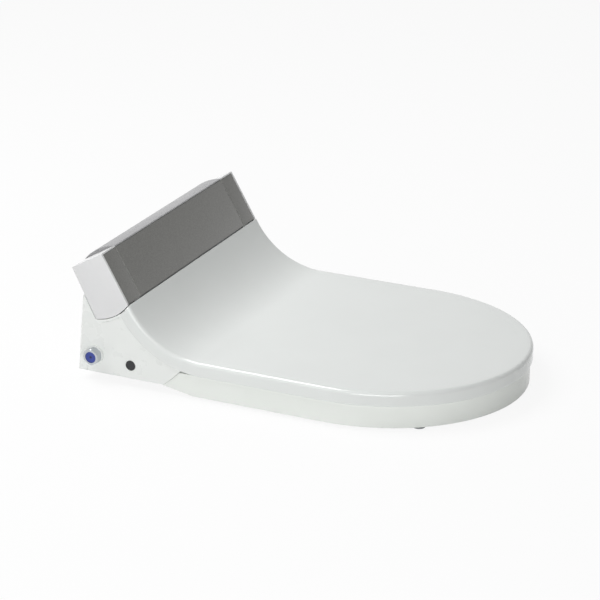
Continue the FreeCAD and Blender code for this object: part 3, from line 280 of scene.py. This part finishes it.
# %% Dress the CAD sub-parts
FINISHES = {
    "white_plastic": ring_abs, "lid_plastic": lid_abs, "end_plastic": cap_abs, "panel_metal": panel_lacquer,
    "cover_grey": cover_abs, "black_plastic": black_nylon, "grey_plastic": inner_abs, "rubber": soft_rubber,
    "chrome": chrome, "blue_plug": blue_plug, "steel": steel, "brass": brass, "board_green": board,
}
SHELLS = ("base_shell", "rear_cover", "nozzle_housing", "inlet_collar", "shell_bosses")
slot_of = {name: item.material_slots[0].name for name, item in frame["nodes"].items()}


def dress(piece, material):
    """One material for the whole piece."""
    piece.data.materials.clear()
    piece.data.materials.append(material)


for name, item in frame["nodes"].items():
    dress(item, shell_abs if name in SHELLS else FINISHES[slot_of[name]])
print("dressed", len(frame["nodes"]), "sub-parts")

# %% [markdown]
# ## Softened edges
#
# No moulding has a knife edge: steel wears, plastic shrinks, and the mould maker breaks every corner by
# half a millimetre or more. That tiny curve is what catches the light along an edge. The CAD leaves most
# of them out, since they cost time in every later step. A bevel modifier on a copy of the CAD mesh puts
# them back. The copy's loose triangles are merged first and flat regions dissolved, or the bevel would
# round every triangle.

# %% A copy with rounded edges
MERGE = 0.01 * MM


def link(name, mesh):
    """A new object at the origin that shows the mesh."""
    piece = bpy.data.objects.new(name, mesh)
    bpy.context.scene.collection.objects.link(piece)
    return piece


def softened(node, radius, corner=32):
    """A copy of a CAD node, merged, its edges sharper than corner degrees rounded by radius millimetres."""
    source = frame["nodes"][node]
    mesh = source.data.copy()
    merged = bmesh.new()
    merged.from_mesh(mesh)
    bmesh.ops.remove_doubles(merged, verts=merged.verts, dist=MERGE)
    bmesh.ops.dissolve_limit(merged, angle_limit=radians(0.5), verts=merged.verts, edges=merged.edges)
    merged.to_mesh(mesh)
    merged.free()
    mesh.shade_smooth()
    piece = link(node + "_moulded", mesh)
    bevel = piece.modifiers.new("Broken edge", "BEVEL")
    bevel.width = radius * MM
    bevel.segments = 3
    bevel.limit_method = "ANGLE"
    bevel.angle_limit = radians(corner)
    bevel.harden_normals = True
    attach(piece, source["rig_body"])
    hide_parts(node)
    return piece


EDGES = {
    "rear_cover": 0.5, "base_tray": 0.4, "mounting_plate": 0.5, "nozzle_housing": 0.8,
    "control_box": 0.6, "front_panel": 1.0, "top_cover": 0.8, "lid_end_left": 0.7, "lid_end_right": 0.7,
    "end_strip_left": 0.9, "end_strip_right": 0.9, "release_button": 0.8,
}
for name, radius in EDGES.items():
    softened(name, radius)
print("softened", len(EDGES), "mouldings")

# %% [markdown]
# ## The lid
#
# The lid is one big shell: a flat top that ends in a half-elliptical nose, a skirt all round, and a rear
# part that sweeps up through 60 degrees to meet the control panel. It is the first thing the eye goes to,
# and any facet in its reflections would show. So it isn't a copy of the CAD triangles. It is worked out
# as a surface instead: the skirt's profile is carried round the outline on the flat, and then the flat is
# rolled up round the bend's axis. The roll is a change of coordinates, so the skirt's height, the wall
# and the rounding all follow the bend.

# %% The lid's sizes, in metres
lid_low, lid_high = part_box("lid_shell")
LID_HALF = lid_high.x
NOSE_TIP = -lid_low.y
NOSE = 202.9 * MM
STRAIGHT = NOSE_TIP - NOSE
SKIRT = 19.1 * MM
TOP = lid_low.z + SKIRT
BEND_START = 97.5 * MM
BEND_RADIUS = 115 * MM
BEND_TURN = radians(60)
WALL, SKIRT_WALL = 3.5 * MM, 4.5 * MM
ROUND, RIM_ROUND, INNER_ROUND = 5.5 * MM, 1.4 * MM, 2 * MM
pin_low, pin_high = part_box("hinge_pins")
HINGE = ((pin_low.y + pin_high.y) / 2, (pin_low.z + pin_high.z) / 2)
REAR_RADIUS = 65.5 * MM
print("lid: half width %.4f, straight to %.4f, hinge at y %.4f z %.4f" % (LID_HALF, STRAIGHT, *HINGE))


# %% Rolling the flat up round the bend
def rolled(along, height):
    """Y and Z of a point given by its run along the lid and its height over the lid's top, which is negative.

    Up to the bend the run is Y. Then it is an arc about a line above the lid, of the bend's radius less the
    height, and after 60 degrees a straight tail in the arc's last direction.
    """
    run = along + BEND_START
    turn = np.clip(run / BEND_RADIUS, 0, BEND_TURN)
    tail = np.maximum(run - BEND_RADIUS * BEND_TURN, 0)
    arm = BEND_RADIUS - height
    y = -BEND_START + np.minimum(run, 0) + arm * np.sin(turn) + tail * np.cos(BEND_TURN)
    z = TOP + BEND_RADIUS - arm * np.cos(turn) + tail * np.sin(BEND_TURN)
    return y, z


def rear_end(height):
    """How far the lid runs before it comes within the rear radius of the hinge: halved steps, all at once."""
    near, far = np.full_like(height, -BEND_START), np.full_like(height, 60 * MM)
    for _ in range(40):
        middle = (near + far) / 2
        y, z = rolled(middle, height)
        outside = np.hypot(y - HINGE[0], z - HINGE[1]) > REAR_RADIUS
        near, far = np.where(outside, middle, near), np.where(outside, far, middle)
    return near


# %% [markdown]
# The profile is a list of stretches, each from the middle of the lid outwards, over the rounded edge,
# down the skirt, round the rim, up inside and back to the middle. Every point has three numbers: how far
# it is inset from the outline, its height, and the share of the way out from the lid's middle line.

# %% The skirt's profile
def skirt_profile():
    """Inset, height and share, from the top's middle over the edge, round the rim and back inside."""
    out = np.linspace(0, 1, 14)[:-1]
    outer = [(np.full_like(out, ROUND), 0 * out, out)]
    edge = np.linspace(0, pi / 2, 9)
    outer += [(ROUND * (1 - np.sin(edge)), -ROUND * (1 - np.cos(edge)), np.ones_like(edge))]
    down = np.linspace(-ROUND, -SKIRT + RIM_ROUND, 7)[1:]
    outer += [(0 * down, down, np.ones_like(down))]
    turn = np.linspace(0, pi / 2, 5)[1:]
    outer += [(RIM_ROUND * (1 - np.cos(turn)), -SKIRT + RIM_ROUND * (1 - np.sin(turn)), np.ones_like(turn))]
    inner_edge = np.linspace(0, pi / 2, 9)
    inner_inset = SKIRT_WALL + INNER_ROUND * (1 - np.sin(inner_edge))
    inner_height = -WALL - INNER_ROUND * (1 - np.cos(inner_edge))
    inner = [(np.full_like(out, SKIRT_WALL + INNER_ROUND), 0 * out - WALL, out)]
    inner += [(inner_inset, inner_height, np.ones_like(inner_edge))]
    up = np.linspace(-WALL - INNER_ROUND, -SKIRT + RIM_ROUND, 7)[1:]
    inner += [(0 * up + SKIRT_WALL, up, np.ones_like(up))]
    inner += [(SKIRT_WALL - RIM_ROUND * (1 - np.cos(turn)), -SKIRT + RIM_ROUND * (1 - np.sin(turn)),
               np.ones_like(turn))]
    first = np.concatenate([np.array(part) for part in outer], axis=1)
    second = np.concatenate([np.array(part) for part in inner], axis=1)
    return np.concatenate([first, second[:, ::-1]], axis=1)


profile = skirt_profile()
print("skirt profile:", profile.shape[1], "points")

# %% [markdown]
# The outline is walked from the rear left corner along the side, round the nose and back to the rear
# right corner. On the sides a point's run is spread between the rear end and the start of the nose. On
# the nose it is an ellipse whose half axes shrink with the inset. Shrinking both towards the middle line
# by the share fills the flat top.


# %% Carrying the profile round the outline
def wrap(mesh_name, points, caps):
    """A mesh from a grid of points, one quad between neighbours, with extra quads given as index rows."""
    rows, columns = points.shape[:2]
    index = np.arange(rows * columns).reshape(rows, columns)
    quads = np.stack([index[:-1, :-1], index[1:, :-1], index[1:, 1:], index[:-1, 1:]], axis=-1).reshape(-1, 4)
    quads = np.concatenate([quads, *caps]) if caps else quads
    mesh = bpy.data.meshes.new(mesh_name)
    mesh.from_pydata(points.reshape(-1, 3), [], quads)
    closed = bmesh.new()
    closed.from_mesh(mesh)
    bmesh.ops.remove_doubles(closed, verts=closed.verts, dist=MERGE)
    bmesh.ops.dissolve_degenerate(closed, edges=closed.edges, dist=MERGE)
    bmesh.ops.recalc_face_normals(closed, faces=closed.faces)
    closed.to_mesh(mesh)
    closed.free()
    mesh.shade_smooth()
    return mesh


def lid_surface(side_steps=70, nose_steps=120):
    """The lid's grid: profile points across, outline points along."""
    inset, height, share = profile[:, None, :]
    back = np.linspace(0, 1, side_steps)[:, None] ** 0.8
    side_run = rear_end(height) * (1 - back) - STRAIGHT * back
    half = (LID_HALF - inset) * share
    left = np.stack([-half + 0 * side_run, side_run], axis=-1)
    angle = np.linspace(0, pi, nose_steps)[1:-1, None]
    nose = np.stack([-half * np.cos(angle), -STRAIGHT - (NOSE - inset) * share * np.sin(angle)], axis=-1)
    right = (left * (-1, 1))[::-1]
    plan = np.concatenate([left, nose, right])
    y, z = rolled(plan[..., 1], height + 0 * plan[..., 1])
    return np.stack([plan[..., 0], y, z], axis=-1)


points = lid_surface()
rows, columns = points.shape[:2]
half_way = np.arange(columns // 2 - 1)
end_quads = np.stack([half_way, half_way + 1, columns - 2 - half_way, columns - 1 - half_way], axis=-1)
caps = [end_quads[:, ::-1], end_quads + (rows - 1) * columns]
lid = link("lid_moulded", wrap("lid_moulded", points, caps))
lid.data.set_sharp_from_angle(angle=radians(50))
dress(lid, lid_abs)
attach(lid, "lid")
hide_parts("lid_shell")
print("lid:", len(lid.data.polygons), "faces")

# %% [markdown]
# ## Inlet nut
#
# The inlet nut is a turned hexagon: six flats, and a cone at each end where the lathe has broken the
# corners. Both come from one rule: the surface is as far from the axis as the hexagon or the cone,
# whichever is nearer.

# %% A chamfered hexagon
def nut_surface(around=96, flats=20.5 * MM, bore=7.7 * MM, chamfer=1.2 * MM):
    """Distance from the axis is flats / 2 / cos(angle to the nearest flat), but at most the cone's radius,
    which is the corners' and falls by chamfer towards both ends. The bore closes the ring."""
    low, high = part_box("inlet_nut")
    angle = np.linspace(0, 2 * pi, around + 1)[:, None]
    hexagon = flats / 2 / np.cos((angle + pi / 6) % (pi / 3) - pi / 6)
    corner = flats / 2 / np.cos(pi / 6)
    depth = np.array([0, 0.15, 0.4, 0.8, 1.3, 2.2]) * MM
    x = np.concatenate([low.x + depth, high.x - depth[::-1]])
    inward = np.minimum(x - low.x, high.x - x)
    cone = corner - chamfer * np.sqrt(np.clip(1 - inward / (1.6 * MM), 0, 1))
    outer = np.minimum(hexagon, cone[None, :])
    reach = np.concatenate([np.full((around + 1, 1), bore), outer, np.full((around + 1, 1), bore)], axis=1)
    x = np.concatenate([[low.x], x, [high.x]])[None, :] + 0 * angle
    reach = np.concatenate([reach, reach[:, :1]], axis=1)
    x = np.concatenate([x, x[:, :1]], axis=1)
    y, z = (low.y + high.y) / 2, (low.z + high.z) / 2
    return np.stack([x, y + reach * np.cos(angle), z + reach * np.sin(angle)], axis=-1)


nut = link("inlet_nut_turned", wrap("inlet_nut_turned", nut_surface(), []))
nut.data.set_sharp_from_angle(angle=radians(28))
dress(nut, chrome)
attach(nut, "base")
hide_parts("inlet_nut")
print("nut:", len(nut.data.polygons), "faces")

# %% [markdown]
# ## Floor and light
#
# The seat stands on a pale floor under soft light. The floor looks white to the camera because most of
# what the camera sees of it is plain white, with a share of the lit surface mixed in, which is what keeps
# the shadow. Light comes from a dim pale room, a wide softbox overhead, set back towards the hinge so
# that the lid's bend falls into shade, and one low on the side of the camera. Straight up the room is
# darker in reflections, as a ceiling is.

# %% The floor
FLOOR_WHITE = 0.9
FLOOR_HALF = 30.0


def white_floor():
    """Seen directly or in a mirror the floor is mostly white; as a lit surface it is pale grey."""
    material, tree, shader = blank("studio_floor")
    place = add(tree, "TexCoord").outputs["Object"]
    mottle = add(tree, "TexNoise", {"Vector": place, "Scale": 3.0}).outputs["Fac"]
    pale = add(tree, "Mix", {"Factor": mottle, 6: linear("E9E9E9"), 7: linear("E7E7E7")}, data_type="RGBA")
    tree.links.new(pale.outputs[2], shader.inputs["Base Color"])
    shader.inputs["Roughness"].default_value = 0.9
    shader.inputs["Specular IOR Level"].default_value = 0.1
    path = add(tree, "LightPath").outputs
    seen = add(tree, "Math", {0: path["Is Camera Ray"], 1: path["Is Glossy Ray"]}, operation="ADD")
    seen = add(tree, "Math", {0: seen.outputs[0], 1: path["Is Transmission Ray"]}, operation="ADD")
    share = add(tree, "Math", {0: seen.outputs[0], 1: FLOOR_WHITE}, operation="MULTIPLY", use_clamp=True)
    white = add(tree, "Emission", {"Color": (1, 1, 1, 1), "Strength": 1.0})
    mixed = add(tree, "MixShader", {0: share.outputs[0], 1: shader.outputs[0], 2: white.outputs[0]})
    tree.links.new(mixed.outputs[0], tree.nodes["Material Output"].inputs["Surface"])
    return material


ground = bpy.data.meshes.new("studio_floor")
corners = np.array([(-1, -1, 0), (1, -1, 0), (1, 1, 0), (-1, 1, 0)]) * FLOOR_HALF
ground.from_pydata(corners, [], [(0, 1, 2, 3)])
floor = link("studio_floor", ground)
dress(floor, white_floor())


# %% The room
ROOM_LEVEL = 0.26


def pale_room():
    """Light from all round that fades towards the zenith in reflections and is plain grey for soft light."""
    world = bpy.data.worlds.new("pale_room")
    bpy.context.scene.world = world
    world.use_nodes = True
    tree = world.node_tree
    shader = tree.nodes["Background"]
    way = add(tree, "TexCoord").outputs["Generated"]
    up = add(tree, "SeparateXYZ", {"Vector": way}).outputs["Z"]
    mirror = add(tree, "MapRange", {"Value": up, "From Min": 0.55, "From Max": 0.85,
                                    "To Min": 0.95, "To Max": 0.25}, interpolation_type="SMOOTHSTEP")
    path = add(tree, "LightPath").outputs
    plain = add(tree, "Mix", {"Factor": path["Is Glossy Ray"], 2: ROOM_LEVEL, 3: mirror.outputs["Result"]})
    seen = add(tree, "Mix", {"Factor": path["Is Camera Ray"], 2: plain.outputs[0], 3: 1.0})
    tree.links.new(seen.outputs[0], shader.inputs["Strength"])
    shader.inputs["Color"].default_value = (1, 1, 1, 1)


def softbox(name, place, aim, size, watts):
    """A square area lamp that faces a point."""
    lamp = bpy.data.lights.new(name, "AREA")
    lamp.size = size
    lamp.energy = watts
    item = bpy.data.objects.new(name, lamp)
    bpy.context.scene.collection.objects.link(item)
    item.location = place
    item.rotation_euler = (Vector(aim) - Vector(place)).to_track_quat("-Z", "Y").to_euler()


pale_room()
softbox("overhead", (-0.3, 1.0, 2.1), (0, -0.1, 0), 1.5, 50)
softbox("camera_side", (-2.1, -0.9, 0.35), (0, -0.1, 0.05), 1.3, 24)

# %% [markdown]
# ## Camera
#
# A long lens from three metres keeps the lid's sides nearly parallel, as in a catalogue. The direction is
# an azimuth and an elevation round a point in the middle of the seat.

# %% Camera
AZIMUTH, ELEVATION, DISTANCE = radians(-64.616), radians(21.496), 3.2855
AIM = Vector((0.0083, -0.1470, 0.0792))
back = Vector((np.sin(AZIMUTH) * np.cos(ELEVATION), -np.cos(AZIMUTH) * np.cos(ELEVATION), np.sin(ELEVATION)))
lens = bpy.data.cameras.new("catalogue_lens")
lens.lens = 147.8
camera = bpy.data.objects.new("catalogue_camera", lens)
bpy.context.scene.collection.objects.link(camera)
camera.location = AIM + back * DISTANCE
camera.rotation_euler = (-back).to_track_quat("-Z", "Y").to_euler()
bpy.context.scene.camera = camera
bpy.context.scene.view_settings.view_transform = "Standard"

# %% [markdown]
# ## Last update
#
# The view layer is brought up to date once more at the end.

# %% Last update
bpy.context.view_layer.update()
